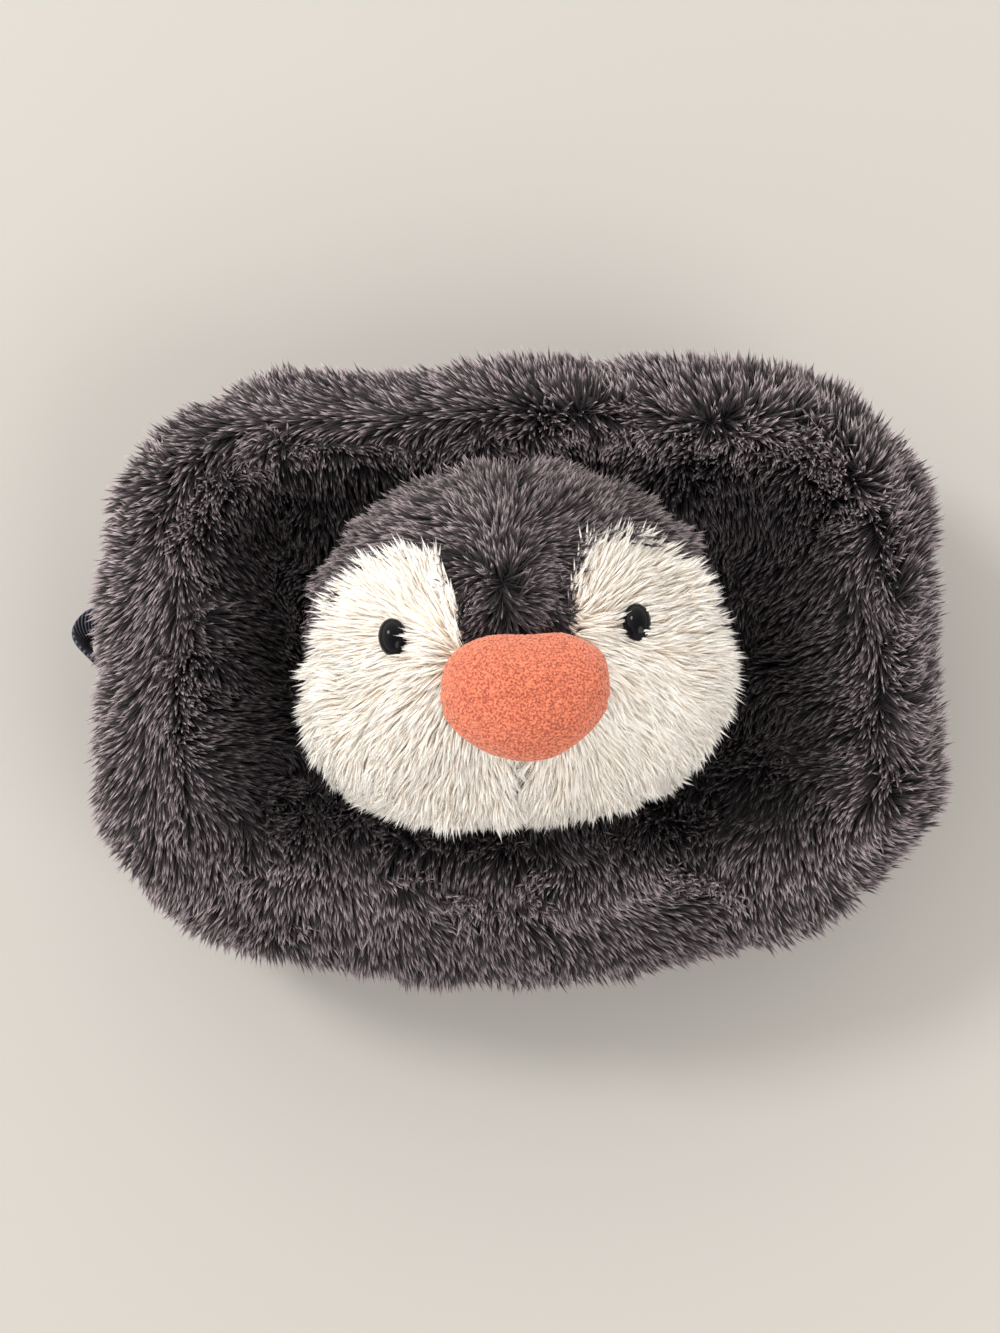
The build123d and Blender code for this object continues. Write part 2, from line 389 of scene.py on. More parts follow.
def relief(tree, height, strength, distance):
    return out(tree_node(tree, "ShaderNodeBump", None, Height=height, Strength=strength, Distance=distance))


def fur_material(name, root, middle, tip, low, high, shine, sheen, tint, glow=0.0):
    """A pile of strands, light at the tip and dark at the root, the dark partly the fur's own colour and partly
    painted shade between the strands; each strand a little its own tone, times the light and shade painted on its
    skin.
    """
    material, tree, shader = new_material(name)
    uv = tree_node(tree, "ShaderNodeUVMap", {"uv_map": "OFBake"}).outputs["UV"]
    split = tree_node(tree, "ShaderNodeSeparateXYZ", None, Vector=uv)
    along = ramp(tree, split.outputs["Y"], ((0.08, root), (0.66, middle), (0.98, tip)), "EASE")
    tone = map_range(tree, split.outputs["X"], To_Min=low, To_Max=high)
    fill_in(tree, shader, Base_Color=scaled(tree, along, tone), Roughness=0.48, Specular_IOR_Level=shine,
            Sheen_Weight=sheen, Sheen_Roughness=0.4, Sheen_Tint=(*tint, 1), Subsurface_Weight=glow,
            Subsurface_Radius=(1.0, 0.9, 0.75), Subsurface_Scale=1.5 * MM)
    return material


def knit_material(name, color, scale):
    """The knitted backing that the pile grows from."""
    material, tree, shader = new_material(name)
    grain = mixed(tree, object_noise(tree, scale), [c * 0.6 for c in color], [c * 1.4 for c in color])
    fill_in(tree, shader, Base_Color=grain, Roughness=0.95)
    return material


# The charcoal fur's near-black roots are partly painted shade between the strands.
charcoal_fur = fur_material("charcoal fur", (0.003, 0.0025, 0.003), (0.042, 0.033, 0.036),
                            (0.43, 0.355, 0.375), 0.03, 1.75, 0.2, 0.05, (0.75, 0.7, 0.75))
# The cream fur's warmer, darker root and middle are painted shade between the strands.
cream_fur = fur_material("cream fur", (0.80, 0.65, 0.50), (0.95, 0.88, 0.785),
                         (0.98, 0.965, 0.925), 0.94, 1.06, 0.5, 0.15, (1.0, 0.97, 0.92), 0.35)
charcoal_backing = knit_material("charcoal backing", (0.02, 0.017, 0.018), 900)
cream_backing = knit_material("cream backing", (0.62, 0.56, 0.47), 900)
FURS = {"fur_charcoal": (charcoal_fur, charcoal_backing), "fur_cream": (cream_fur, cream_backing)}


def give(obj, material):
    obj.data.materials.clear()
    obj.data.materials.append(material)


def dress(obj, material, body=None, nodes=()):
    """Gives a piece its material and smooth faces, the CAD nodes it stands for, and its body."""
    give(obj, material)
    obj.data.polygons.foreach_set("use_smooth", [True] * len(obj.data.polygons))
    obj.data.update()
    if nodes:
        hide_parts(*nodes)
    if body:
        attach(obj, body)


# ---------------------------------------------------------------- the pile
STRAND_LEAN = 2.0
LOCK = ((0.0, 0.0, 1.0), (1.15, 0.35, 0.90), (-0.6, 1.05, 0.95), (-0.4, -1.1, 0.82))


def lock(name, bend, swell):
    """A lock of the pile, a unit long: two full strands, bent one way, with two fine ones beside them."""
    def strand_at(place):
        return min(range(len(LOCK)), key=lambda k: (place.x - LOCK[k][0]) ** 2 + (place.y - LOCK[k][1]) ** 2)

    bm = bmesh.new()
    uv = bm.loops.layers.uv.new("strand")
    for k, (x, y, tall) in enumerate(LOCK):
        if k == 2:
            cut(bm, (0, 0, bend), (0, 0, 1), drop=False)
        bmesh.ops.create_cone(bm, segments=3, radius1=0.5 if k < 2 else 0.42, radius2=0, depth=tall,
                              matrix=Matrix.Translation((x, y, tall / 2)) @ Matrix.Rotation(k * 1.3, 4, "Z"))
    for face in bm.faces:
        own = strand_at(face.calc_center_median())
        x, y, tall = LOCK[own]
        for loop in face.loops:
            co = loop.vert.co
            turn = math.atan2(co.y - y, co.x - x) / math.tau + 0.5
            loop[uv].uv = ((own + 0.3 * turn) / len(LOCK), co.z / tall)
    for v in bm.verts:
        x, y, _ = LOCK[strand_at(v.co)]
        z = v.co.z
        if abs(z - bend) < 0.01:
            v.co.x = x + (v.co.x - x) * swell
            v.co.y = y + (v.co.y - y) * swell
        v.co.x += STRAND_LEAN * z ** 2 - x * 0.75 * z
        v.co.y -= y * 0.75 * z
    obj = object_from(name, bm)
    obj.hide_render = True
    return obj


def drift(tree, scale, strength, seed):
    """A noise vector about nought, so that neighbouring strands lean together."""
    place = out(tree.nodes.new("GeometryNodeInputPosition"))
    moved = vectors(tree, "ADD", place, (seed * 0.31, seed * 0.17, seed * 0.23))
    field = tree_node(tree, "ShaderNodeTexNoise", None, Vector=moved, Scale=scale, Detail=1.0)
    return scaled(tree, vectors(tree, "SUBTRACT", field.outputs["Color"], (0.5, 0.5, 0.5)), strength)


def pile_tree(style, seed, template):
    """The scatter of strands over a skin, combed along its comb attribute."""
    tree = bpy.data.node_groups.new("pile", "GeometryNodeTree")
    for way in ("INPUT", "OUTPUT"):
        tree.interface.new_socket("Geometry", in_out=way, socket_type="NodeSocketGeometry")
    skin = tree.nodes.new("NodeGroupInput").outputs[0]
    cover = numbers(tree, "MULTIPLY", named(tree, "cover", "FLOAT"), style["per_mm2"] / MM ** 2)
    scatter = tree_node(tree, "GeometryNodeDistributePointsOnFaces",
                        {"distribute_method": "RANDOM"}, Mesh=skin, Density=cover, Seed=seed)
    kept = tree_node(tree, "GeometryNodeCaptureAttribute")
    kept.capture_items.new("VECTOR", "up")
    tree.links.new(scatter.outputs["Points"], kept.inputs["Geometry"])
    tree.links.new(scatter.outputs["Normal"], kept.inputs["up"])
    up = kept.outputs["up"]
    comb = named(tree, "comb", "FLOAT_VECTOR")
    stray = style["stray"]
    aim = scaled(tree, up, style["stand"])
    for lean in (scaled(tree, comb, style["lay"]),
                 drift(tree, 1 / (style["clump"] * MM), style["clump_lean"], seed),
                 drift(tree, 1 / (style["swirl"] * MM), style["swirl_lean"], seed + 40),
                 random_value(tree, (-stray,) * 3, (stray,) * 3, seed + 1, "FLOAT_VECTOR")):
        aim = vectors(tree, "ADD", aim, lean)
    # A strand that would lie lower than its lift is turned up to it.
    lack = map_range(tree, vectors(tree, "DOT_PRODUCT", aim, up), From_Min=-2.0, From_Max=style["lift"],
                     To_Min=2.0 + style["lift"], To_Max=0.0)
    aim = vectors(tree, "ADD", aim, scaled(tree, up, lack))
    turn = tree_node(tree, "FunctionNodeAlignRotationToVector", {"axis": "Z"}, Vector=aim)
    aside = vectors(tree, "ADD", comb, random_value(tree, (-0.7,) * 3, (0.7,) * 3, seed + 2, "FLOAT_VECTOR"))
    turn = tree_node(tree, "FunctionNodeAlignRotationToVector", {"axis": "X", "pivot_axis": "Z"},
                     Rotation=out(turn), Vector=aside)
    length = numbers(tree, "MULTIPLY", named(tree, "long", "FLOAT"),
                     random_value(tree, style["short"] * MM, style["long"] * MM, seed + 3))
    width = random_value(tree, style["thin"] * MM, style["thick"] * MM, seed + 4)
    size = tree_node(tree, "ShaderNodeCombineXYZ", None, X=width, Y=width, Z=length)
    lump = tree_node(tree, "ShaderNodeTexNoise", None, Scale=1 / (style["clump"] * 1.6 * MM), Detail=1.0)
    lump = numbers(tree, "MULTIPLY", lump.outputs["Fac"], style["lump_tone"])
    tone = numbers(tree, "ADD", random_value(tree, *style["tone"], seed + 5), lump)
    # The tone is multiplied by the light and shade painted on the skin.
    tone = numbers(tree, "MULTIPLY", tone, named(tree, "bright", "FLOAT"))
    tone = tree_node(tree, "ShaderNodeClamp", None, Value=tone, Min=0.01, Max=0.73)
    toned = tree_node(tree, "GeometryNodeStoreNamedAttribute", {"data_type": "FLOAT", "domain": "POINT"},
                      Geometry=kept.outputs["Geometry"], Name="tone", Value=out(tone))
    shape = tree_node(tree, "GeometryNodeObjectInfo", None, Object=template)
    strands = tree_node(tree, "GeometryNodeInstanceOnPoints", None, Points=out(toned),
                        Instance=shape.outputs["Geometry"], Rotation=out(turn), Scale=out(size))
    real = tree_node(tree, "GeometryNodeRealizeInstances", None, Geometry=out(strands))
    along = tree_node(tree, "ShaderNodeSeparateXYZ", None, Vector=named(tree, "strand", "FLOAT_VECTOR"))
    aside_tone = numbers(tree, "MULTIPLY", along.outputs["X"], 0.25)
    across = numbers(tree, "ADD", named(tree, "tone", "FLOAT"), aside_tone)
    flat = tree_node(tree, "ShaderNodeCombineXYZ", None, X=across, Y=along.outputs["Y"])
    mapped = tree_node(tree, "GeometryNodeStoreNamedAttribute", {"data_type": "FLOAT2", "domain": "CORNER"},
                       Geometry=out(real), Name="OFBake", Value=out(flat))
    tree.links.new(out(mapped), tree.nodes.new("NodeGroupOutput").inputs[0])
    return tree


def pile(name, skin, style, seed, slot, body, template):
    """A skin's pile as a mesh of its own, riding on a body."""
    host = added(name + "_host", skin.data)
    host.modifiers.new("pile", "NODES").node_group = pile_tree(style, seed, template)
    graph = bpy.context.evaluated_depsgraph_get()
    mesh = bpy.data.meshes.new_from_object(host.evaluated_get(graph), preserve_all_data_layers=True,
                                           depsgraph=graph)
    bpy.data.objects.remove(host)
    for extra in ("strand", "tone", "up"):
        if extra in mesh.attributes:
            mesh.attributes.remove(mesh.attributes[extra])
    dress(added(name, mesh), FURS[slot][0], body)


def paint(skin, comb, long, cover, bright=1.0):
    """Gives a skin the direction, length and cover of its pile, and the light and shade painted on it."""
    count = len(skin.data.vertices)
    for name, kind, values, shape, key in (("comb", "FLOAT_VECTOR", comb, (count, 3), "vector"),
                                           ("long", "FLOAT", long, (count,), "value"),
                                           ("cover", "FLOAT", cover, (count,), "value"),
                                           ("bright", "FLOAT", bright, (count,), "value")):
        layer = skin.data.attributes.new(name, kind, "POINT")
        flat = np.ascontiguousarray(np.broadcast_to(values, shape), float)
        layer.data.foreach_set(key, flat.reshape(-1))


def without(name, bm, others):
    """A mesh as a new object, without some of its faces."""
    bmesh.ops.delete(bm, geom=others, context="FACES")
    return object_from(name, bm)


def part_of(name, skin, test):
    """A copy of the faces of a skin whose middles pass a test."""
    bm = mesh_of(skin)
    return without(name, bm, [f for f in bm.faces if not test(f.calc_center_median())])


def unit(ways):
    """Directions of length one."""
    return ways / np.maximum(np.linalg.norm(ways, axis=1), 1e-9)[:, None]


# Each pile's locks to the square millimetre; how much they stand, lie along the comb and keep off the skin;
# the width of its clumps and swirls and how far they lean; and the locks' length and width, in millimetres.
BODY_PILE = dict(per_mm2=0.65, stand=0.30, lay=0.95, lift=0.3, clump=9, clump_lean=1.5, swirl=28, swirl_lean=2.6,
                 stray=0.22, short=6.5, long=11.5, thin=0.42, thick=0.68, tone=(-0.02, 0.52), lump_tone=0.4)
PANEL_PILE = dict(BODY_PILE, per_mm2=0.76, stand=0.65, lay=0.8, swirl_lean=3.0, short=6.0, long=10.5, thick=0.70)
CROWN_PILE = dict(BODY_PILE, per_mm2=0.85, stand=0.45, lay=0.9, clump=7, clump_lean=2.0, swirl=18,
                  swirl_lean=2.0, stray=0.2, short=6.0, long=9.5, thin=0.38, thick=0.62)
CHEEK_PILE = dict(CROWN_PILE, per_mm2=1.08, stand=0.36, lay=1.0, clump=6, clump_lean=1.6, swirl_lean=1.7,
                  short=7.5, long=10.5, thin=0.36, thick=0.6)
UNDER_PILE = dict(BODY_PILE, per_mm2=0.26, thin=0.7, thick=1.1, tone=(-0.02, 0.40))
BACK_PILE = dict(BODY_PILE, per_mm2=0.1, stand=0.08, lift=0.05, lay=1.0, clump_lean=0.1, swirl_lean=0.2,
                 stray=0.03, short=7.0, long=10.0, thin=0.9, thick=1.5)

blunt_lock = lock("blunt_lock", 0.76, 3.2)
fine_lock = lock("fine_lock", 0.6, 1.9)


# ---------------------------------------------------------------- the fur body
def gusset_comb(co, no, upper):
    """The gusset's nap leans outwards from the front and a little round it, and stands up by the seam."""
    round_it = unit(np.column_stack([-co[:, 1], co[:, 0], np.zeros(len(co))]))
    away = no * (1, 1, 0)
    rim = smooth(55 * MM, 72 * MM, co[:, 2])[:, None] if upper else 0.0
    down = np.array((0.0, 0.0, -0.45 if upper else 0.1))
    return unit(round_it * (0.5 - 0.15 * rim) + away * (0.15 + 0.6 * rim) + down * (1 - 0.6 * rim))


def panel_comb(co):
    """The front panel's nap runs down, inwards from its seam except at the bottom."""
    inward = unit((np.array(HEAD_AT) - co) * (0.8, 1.0, 0))
    low = smooth(-70 * MM, -20 * MM, co[:, 1])
    reach = np.maximum(np.abs(co[:, 0]) / (HALF_W - SEAM_INSET), np.abs(co[:, 1]) / (HALF_H - SEAM_INSET))
    comb = np.array((0.0, -1.0, 0.0)) + inward * (1.6 * low * smooth(0.5, 0.95, reach))[:, None]
    return unit(comb)


def away_from_zip(co):
    """1 over most of the body and 0 at the zip, so that the hems, the zip and the loop lie true."""
    return smooth(9 * MM, 20 * MM, np.abs(co[:, 2] - ZIP_Z)) * smooth(2 * MM, 9 * MM, co[:, 2])


def ring_of(obj):
    values = np.empty(len(obj.data.vertices))
    obj.data.attributes["ring"].data.foreach_get("value", values)
    return values


def rings_between(name, skin, first, last):
    """A copy of the faces of a skin between two of its rings."""
    ring = ring_of(skin)
    bm = mesh_of(skin)
    return without(name, bm, [f for f in bm.faces
                              if any(not first - 0.1 <= ring[v.index] <= last + 0.1 for v in f.verts)])


LID_RINGS = lid_rings()
TUB_RINGS = tub_rings()
LID_SEAM = len(LID_RINGS) - len(wall_rings())
TUB_SEAM = len(TUB_RINGS) - len(wall_rings())
lid_skin = made("lid_skin", LID_RINGS)
tub_skin = made("tub_skin", TUB_RINGS)
rumple(lid_skin, 4.5 * MM, 30 * MM, 3, lambda co: away_from_zip(co) * np.where(
    ring_of(lid_skin) < LID_SEAM, 1.0, 0.3))
rumple(lid_skin, 4.5 * MM, 20 * MM, 21, lambda co: smooth(1, 5, LID_SEAM - ring_of(lid_skin)), 0.45)
rumple(tub_skin, 1.5 * MM, 36 * MM, 8, away_from_zip)


def paint_body():
    """The nap of the body: down the front, round the gusset, and flat on the back."""
    co, no, ring = points_of(lid_skin), normals_of(lid_skin), ring_of(lid_skin)
    on_wall = ring >= LID_SEAM - 0.5
    comb = np.where(on_wall[:, None], gusset_comb(co, no, True), panel_comb(co))
    at_seam = np.exp(-((ring - LID_SEAM) / np.where(on_wall, 2.2, 1.8)) ** 2)
    comb = comb * (1 - 0.8 * at_seam)[:, None] + np.array((0.0, -0.7, 0.0)) * at_seam[:, None]
    within = (LID_SEAM - ring) * 3 * MM
    low = smooth(-40 * MM, -70 * MM, co[:, 1])
    # Painted shade darkens the pile of the sagging front panel, a little less towards its lower end.
    bright = 1 - (0.85 - 0.25 * low) * smooth(1 * MM, 15 * MM, within)
    # Painted light lifts the pile on the left side, and painted shade darkens it towards the lower end.
    bright *= 1 + 0.28 * smooth(95 * MM, 120 * MM, -co[:, 0]) - 0.25 * smooth(-62 * MM, -82 * MM, co[:, 1])
    reach = np.linalg.norm((co - np.array(HEAD_AT))[:, :2] / (HEAD_HALF_W, HEAD_HALF_H), axis=1)
    cover = np.where(on_wall, 0.6 + 0.4 * smooth(50 * MM, 66 * MM, co[:, 2]), smooth(0.55, 0.75, reach))
    cover *= np.where(ring > len(LID_RINGS) - 2.5, 0.0, 1.0) * (1 + 1.0 * at_seam)
    paint(lid_skin, comb, 1.0, cover, bright)
    co, no, ring = points_of(tub_skin), normals_of(tub_skin), ring_of(tub_skin)
    on_wall = ring >= TUB_SEAM - 0.5
    comb = np.where(on_wall[:, None], gusset_comb(co, no, False), np.array((0.0, -1.0, 0.0)))
    long = np.where(on_wall, 0.45 + 0.55 * smooth(8 * MM, 20 * MM, co[:, 2]), 0.9)
    cover = np.where(on_wall, 0.35 + 0.45 * smooth(4 * MM, 24 * MM, co[:, 2]), 1.0)
    cover *= np.where(ring > len(TUB_RINGS) - 2.5, 0.0, 1.0)
    paint(tub_skin, comb, long, cover)


paint_body()


def beside(c):
    """Whether a place is nearer to the body's right or left side than to its ends."""
    return abs(c.x) > abs(c.y) * HALF_W / HALF_H


SIDES = {
    "right": lambda c: beside(c) and c.x > 0,
    "left": lambda c: beside(c) and c.x < 0,
    "upper": lambda c: not beside(c) and c.y > 0,
    "lower": lambda c: not beside(c) and c.y <= 0,
}


def back_them(skin, nodes, body, thick, material):
    """Gives a skin its thickness and its place, and lets it stand for CAD nodes."""
    thicken(skin, thick, -1)
    dress(skin, material, body, nodes)


def body_fur():
    """The body's four fur pieces and their pile, the pile in parts small enough to handle."""
    last_lid, last_tub = len(LID_RINGS) - 1, len(TUB_RINGS) - 1
    plan = (("front_panel", lid_skin, 0, LID_SEAM, "lid", PANEL_PILE),
            ("front_gusset", lid_skin, LID_SEAM, last_lid, "lid", BODY_PILE),
            ("back_gusset", tub_skin, TUB_SEAM, last_tub, "tub", UNDER_PILE),
            ("back_panel", tub_skin, 0, TUB_SEAM, "tub", BACK_PILE))
    seed = 10
    for cad_node, whole, first, last, body, style in plan:
        skin = rings_between(cad_node + "_skin", whole, first, last)
        for side, test in SIDES.items():
            seed += 7
            zone = part_of("zone", skin, test)
            pile(f"{cad_node}_pile_{side}", zone, style, seed, "fur_charcoal", body, blunt_lock)
            bpy.data.objects.remove(zone)
        back_them(skin, [cad_node], body, 0.6 * MM, charcoal_backing)


body_fur()


# ---------------------------------------------------------------- cloth, tape and metal finishes
def woven_material(name, dark, light, scale, rough, bump):
    """A plain weave: crossed threads over a soft mottle, with a little relief."""
    material, tree, shader = new_material(name)
    warp = tree_node(tree, "ShaderNodeTexWave", {"wave_type": "BANDS", "bands_direction": "DIAGONAL"},
                     Vector=tree_node(tree, "ShaderNodeTexCoord").outputs["Object"], Scale=scale, Distortion=1.5)
    threads = warp.outputs["Fac"]
    both = numbers(tree, "MULTIPLY", threads, object_noise(tree, scale * 0.35, 4))
    fill_in(tree, shader, Base_Color=mixed(tree, both, dark, light), Roughness=rough,
            Normal=relief(tree, threads, bump, 0.2 * MM))
    return material


def hard_material(name, dark, light, scale, rough, metal):
    """A hard finish with a little unevenness in its colour and its polish."""
    material, tree, shader = new_material(name)
    cloud = object_noise(tree, scale, 3)
    fill_in(tree, shader, Base_Color=mixed(tree, cloud, dark, light), Metallic=metal,
            Roughness=map_range(tree, cloud, To_Min=rough * 0.8, To_Max=rough * 1.3))
    return material


lining_cloth = woven_material("lining cloth", (0.07, 0.063, 0.07), (0.16, 0.148, 0.16), 700, 0.7, 0.4)
wadding_felt = hard_material("wadding felt", (0.70, 0.70, 0.68), (0.88, 0.88, 0.86), 400, 0.9, 0.0)
binding_cloth = woven_material("binding cloth", (0.018, 0.018, 0.022), (0.05, 0.05, 0.058), 900, 0.65, 0.6)
tape_cloth = woven_material("zip tape cloth", (0.012, 0.012, 0.014), (0.035, 0.035, 0.04), 1100, 0.7, 0.7)
coil_nylon = hard_material("coil nylon", (0.014, 0.014, 0.016), (0.03, 0.03, 0.033), 600, 0.35, 0.0)
black_metal = hard_material("black lacquered metal", (0.016, 0.016, 0.018), (0.05, 0.05, 0.054), 500, 0.25, 0.9)
white_nylon = hard_material("white nylon", (0.74, 0.74, 0.71), (0.84, 0.84, 0.82), 300, 0.45, 0.0)


# ---------------------------------------------------------------- what is under the fur
def layer_under(name, skin, depth, thick, drop, nodes, body, material):
    """A layer that follows the fur skin from inside, without the skin's last rings."""
    ring = ring_of(skin)
    last = ring.max() - drop
    obj = added(name, skin.data.copy())
    set_points(obj, points_of(skin) - normals_of(skin) * depth)
    bm = mesh_of(obj)
    beyond = [f for f in bm.faces if any(ring[v.index] > last + 0.1 for v in f.verts)]
    bmesh.ops.delete(bm, geom=beyond, context="FACES")
    put_back(bm, obj)
    back_them(obj, nodes, body, thick, material)


def strip(name, rings, nodes, body, thick, material):
    """A tape along the zip, through rings of (inset, height), cut off where the zip ends."""
    obj = lofted(name, [ring_at(inset, z) for inset, z in rings])
    bm = mesh_of(obj)
    cut(bm, (0, ZIP_END_Y, 0), (0, -1, 0))
    put_back(bm, obj)
    thicken(obj, thick)
    dress(obj, material, body, nodes)


def zip_line(inset, from_y, pitch):
    """Evenly spaced places along the zip, and the way it runs at each."""
    flat = outline(inset)
    flat = np.roll(flat, -int(np.argmin(flat[:, 1])), axis=0)
    flat = flat[flat[:, 1] > from_y]
    run = np.concatenate([[0], np.cumsum(np.linalg.norm(np.diff(flat, axis=0), axis=1))])
    stops = np.arange(pitch / 2, run[-1], pitch)
    places = np.column_stack([np.interp(stops, run, flat[:, k]) for k in (0, 1)])
    ahead = np.column_stack([np.interp(stops + 0.1 * MM, run, flat[:, k]) for k in (0, 1)])
    return places, np.arctan2(*(ahead - places).T[::-1])


COIL_PITCH = 1.3 * MM
COIL_INSET = 4.3 * MM
COIL_HEIGHT = 1.25 * MM


def coil(name, side, cad_node, body):
    """One side of the zip: loops of nylon laid across the tape's edge, meeting those of the other side."""
    bm = bmesh.new()
    bmesh.ops.create_uvsphere(bm, u_segments=8, v_segments=6, radius=1.0)
    bead = object_from("bead", bm)
    bm = bmesh.new()
    offset = 0.0 if side > 0 else COIL_PITCH / 2
    places, turns = zip_line(COIL_INSET, ZIP_END_Y + 3.6 * MM, COIL_PITCH)
    for (x, y), turn in zip(places, turns):
        place = Matrix.Translation((x, y, ZIP_Z + side * COIL_HEIGHT)) @ Matrix.Rotation(turn, 4, "Z")
        place = place @ Matrix.Translation((offset, 0, 0)) @ Matrix.Rotation(side * 0.22, 4, "Y")
        place = place @ Matrix.Diagonal((0.42 * MM, 0.72 * MM, 1.75 * MM, 1))
        turn_of_coil = bead.data.copy()
        turn_of_coil.transform(place)
        bm.from_mesh(turn_of_coil)
        bpy.data.meshes.remove(turn_of_coil)
    bpy.data.objects.remove(bead)
    dress(object_from(name, bm), coil_nylon, body, [cad_node])


def hinge_fold():
    """The cloth between the two halves round the hinge, folded inwards where it has to open."""
    deep = 10.2 * MM
    profile = [(0.0, 1.0), (0.25, 0.72), (0.5, 0.45), (0.75, 0.2), (1.0, 0.0), (0.75, -0.2), (0.5, -0.45),
               (0.25, -0.72), (0.0, -1.0)]
    flat = outline(deep)
    inner = outline(deep + 30 * MM)
    apart = np.clip((flat[:, 1] + HALF_H) / (HALF_H + ZIP_END_Y), 0, 1)
    way = unit(np.column_stack([inner - flat, np.zeros(len(flat))]))[:, :2]
    rings = []
    for reach, height in profile:
        depth = (2 * MM + 24 * MM * apart) * reach
        z = np.full(len(flat), ZIP_Z + height * 0.9 * MM)
        rings.append(np.column_stack([flat + way * depth[:, None], z]))
    obj = lofted("hinge_fold", rings)
    bm = mesh_of(obj)
    cut(bm, (0, ZIP_END_Y - 1 * MM, 0), (0, 1, 0))
    slanting = [e for e in bm.edges if abs(e.verts[0].co.z - e.verts[1].co.z) > 0.05 * MM]
    bmesh.ops.subdivide_edges(bm, edges=slanting, cuts=1)
    put_back(bm, obj)
    thicken(obj, 0.3 * MM)
    dress(obj, lining_cloth)
    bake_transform(obj)


def inner_layers():
    """Each half's wadding, lining, zip tape, binding and coil, from outside in."""
    for side, skin, body, up in ((1, lid_skin, "lid", "upper"), (-1, tub_skin, "tub", "lower")):
        layer_under(body + "_wadding_layer", skin, 1.7 * MM, 2.4 * MM, 4, [body + "_wadding"], body,
                    wadding_felt)
        layer_under(body + "_lining_layer", skin, 4.6 * MM, 0.6 * MM, 3, [body + "_lining"], body,
                    lining_cloth)
        tape = [(5.45 * MM, ZIP_Z + side * z * MM) for z in (0.7, 3.0, 7.0, 11.0)]
        binding = [(inset * MM, ZIP_Z + side * z * MM)
                   for inset, z in ((6.2, 7.2), (9.6, 7.0), (10.2, 8.0), (10.3, 12.0))]
        strip(f"zip_tape_{up}_cloth", tape, ["zip_tape_" + up], body, 0.55 * MM, tape_cloth)
        strip(body + "_binding_cloth", binding, [body + "_binding"], body, 0.5 * MM, binding_cloth)
        coil(f"zip_coil_{up}_loops", side, "zip_coil_" + up, body)
    hinge_fold()
    for cad_node in ("zip_stops", "zip_slider", "zip_pull"):
        give(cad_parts[cad_node], black_metal)
    for cad_node in ("eye_washer_left", "eye_washer_right"):
        give(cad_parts[cad_node], white_nylon)


inner_layers()
for whole_skin in (lid_skin, tub_skin):
    bpy.data.objects.remove(whole_skin)


# ---------------------------------------------------------------- the loop at the side
def twill_material():
    """Black tape woven in slanting ribs, read from the tape's own length and breadth."""
    material, tree, shader = new_material("twill tape")
    uv = tree_node(tree, "ShaderNodeUVMap", {"uv_map": "tape"}).outputs["UV"]
    ribs = tree_node(tree, "ShaderNodeTexWave", {"wave_type": "BANDS", "bands_direction": "DIAGONAL"}, Vector=uv,
                     Scale=1.1, Distortion=0.6, Detail=1).outputs["Fac"]
    # The ribs' colour follows their relief: the dark grooves are painted shade, and the light crests partly the
    # tape's own navy and partly painted sheen.
    fill_in(tree, shader, Base_Color=mixed(tree, ribs, (0.003, 0.003, 0.005), (0.080, 0.080, 0.110)),
            Normal=relief(tree, ribs, 0.9, 0.5 * MM), Roughness=0.65, Specular_IOR_Level=0.2)
    return material


LOOP_THICK = 1.2 * MM
LOOP_WIDTH = 8 * MM


def tape_loop():
    """The tape goes out of the zip's seam and back, and turns its face up on the upper side."""
    low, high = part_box("side_loop")
    middle_z = (low.z + high.z) / 2
    half_span = (high.y - low.y) / 2 - LOOP_THICK / 2
    middle_y = (low.y + high.y) / 2
    arch_x = low.x + LOOP_THICK / 2 + half_span
    leg = high.x - arch_x
    arc = math.pi * half_span
    whole = 2 * leg + arc
    bm = bmesh.new()
    uv = bm.loops.layers.uv.new("tape")
    bmesh.ops.create_grid(bm, x_segments=150, y_segments=14, size=1)
    for face in bm.faces:
        for loop in face.loops:
            co = loop.vert.co
            loop[uv].uv = ((co.x + 1) / 2 * whole / LOOP_WIDTH * 3, (co.y + 1) / 2 * 3)
    for v in bm.verts:
        s = (v.co.x + 1) / 2 * whole
        across = v.co.y * 3.9 * MM
        if s < leg:
            x, y, a = high.x - s, middle_y + half_span, 0.0
        elif s > leg + arc:
            x, y, a = high.x - (whole - s), middle_y - half_span, math.pi
        else:
            a = (s - leg) / half_span
            reach = half_span * math.sin(a) * (0.88 - 0.4 * float(smooth(1.2, 2.8, a)))
            x, y = arch_x - reach, middle_y + half_span * math.cos(a)
        outward = Vector((-math.sin(a), math.cos(a), 0))
        twist = 1.15 * math.exp(-((s - whole * 0.30) / (whole * 0.22)) ** 2)
        wide = Vector((0, 0, 1)) * math.cos(twist) + outward * math.sin(twist)
        squeeze = 1 - 0.3 * float(smooth(0.6, 1.0, s / whole))
        v.co = Vector((x, y, middle_z)) + wide * across * squeeze
    obj = object_from("side_loop_tape", bm)
    thicken(obj, 1.1 * MM)
    dress(obj, twill_material(), "loop", ["side_loop"])


tape_loop()

# ---------------------------------------------------------------- the head
HEAD_SKIN_DEPTH = 5.0 * MM
# The cheeks' upper edges, as places from the middle of the face outwards, in millimetres.
LEFT_EDGE = [(0, -24), (12, -20), (13.5, -6), (14.5, 4), (15.5, 10), (18, 16), (22, 19), (29, 19.5),
             (37, 18), (44, 13.5), (50, 5), (54, -6), (57, -14)]
RIGHT_EDGE = [(0, -24), (12, -20), (13.5, -6), (14.5, 4), (15.5, 11), (17.5, 17), (22, 20), (28, 22),
              (35, 22), (42, 18.5), (48, 12), (54, 2), (60, -10)]


def squareness(x, y, power):
    """How much further a rounded square reaches than a circle, towards (x, y)."""
    flat = math.hypot(x, y)
    return 1.0 if flat < 1e-6 else (abs(x / flat) ** power + abs(y / flat) ** power) ** (-1 / power)


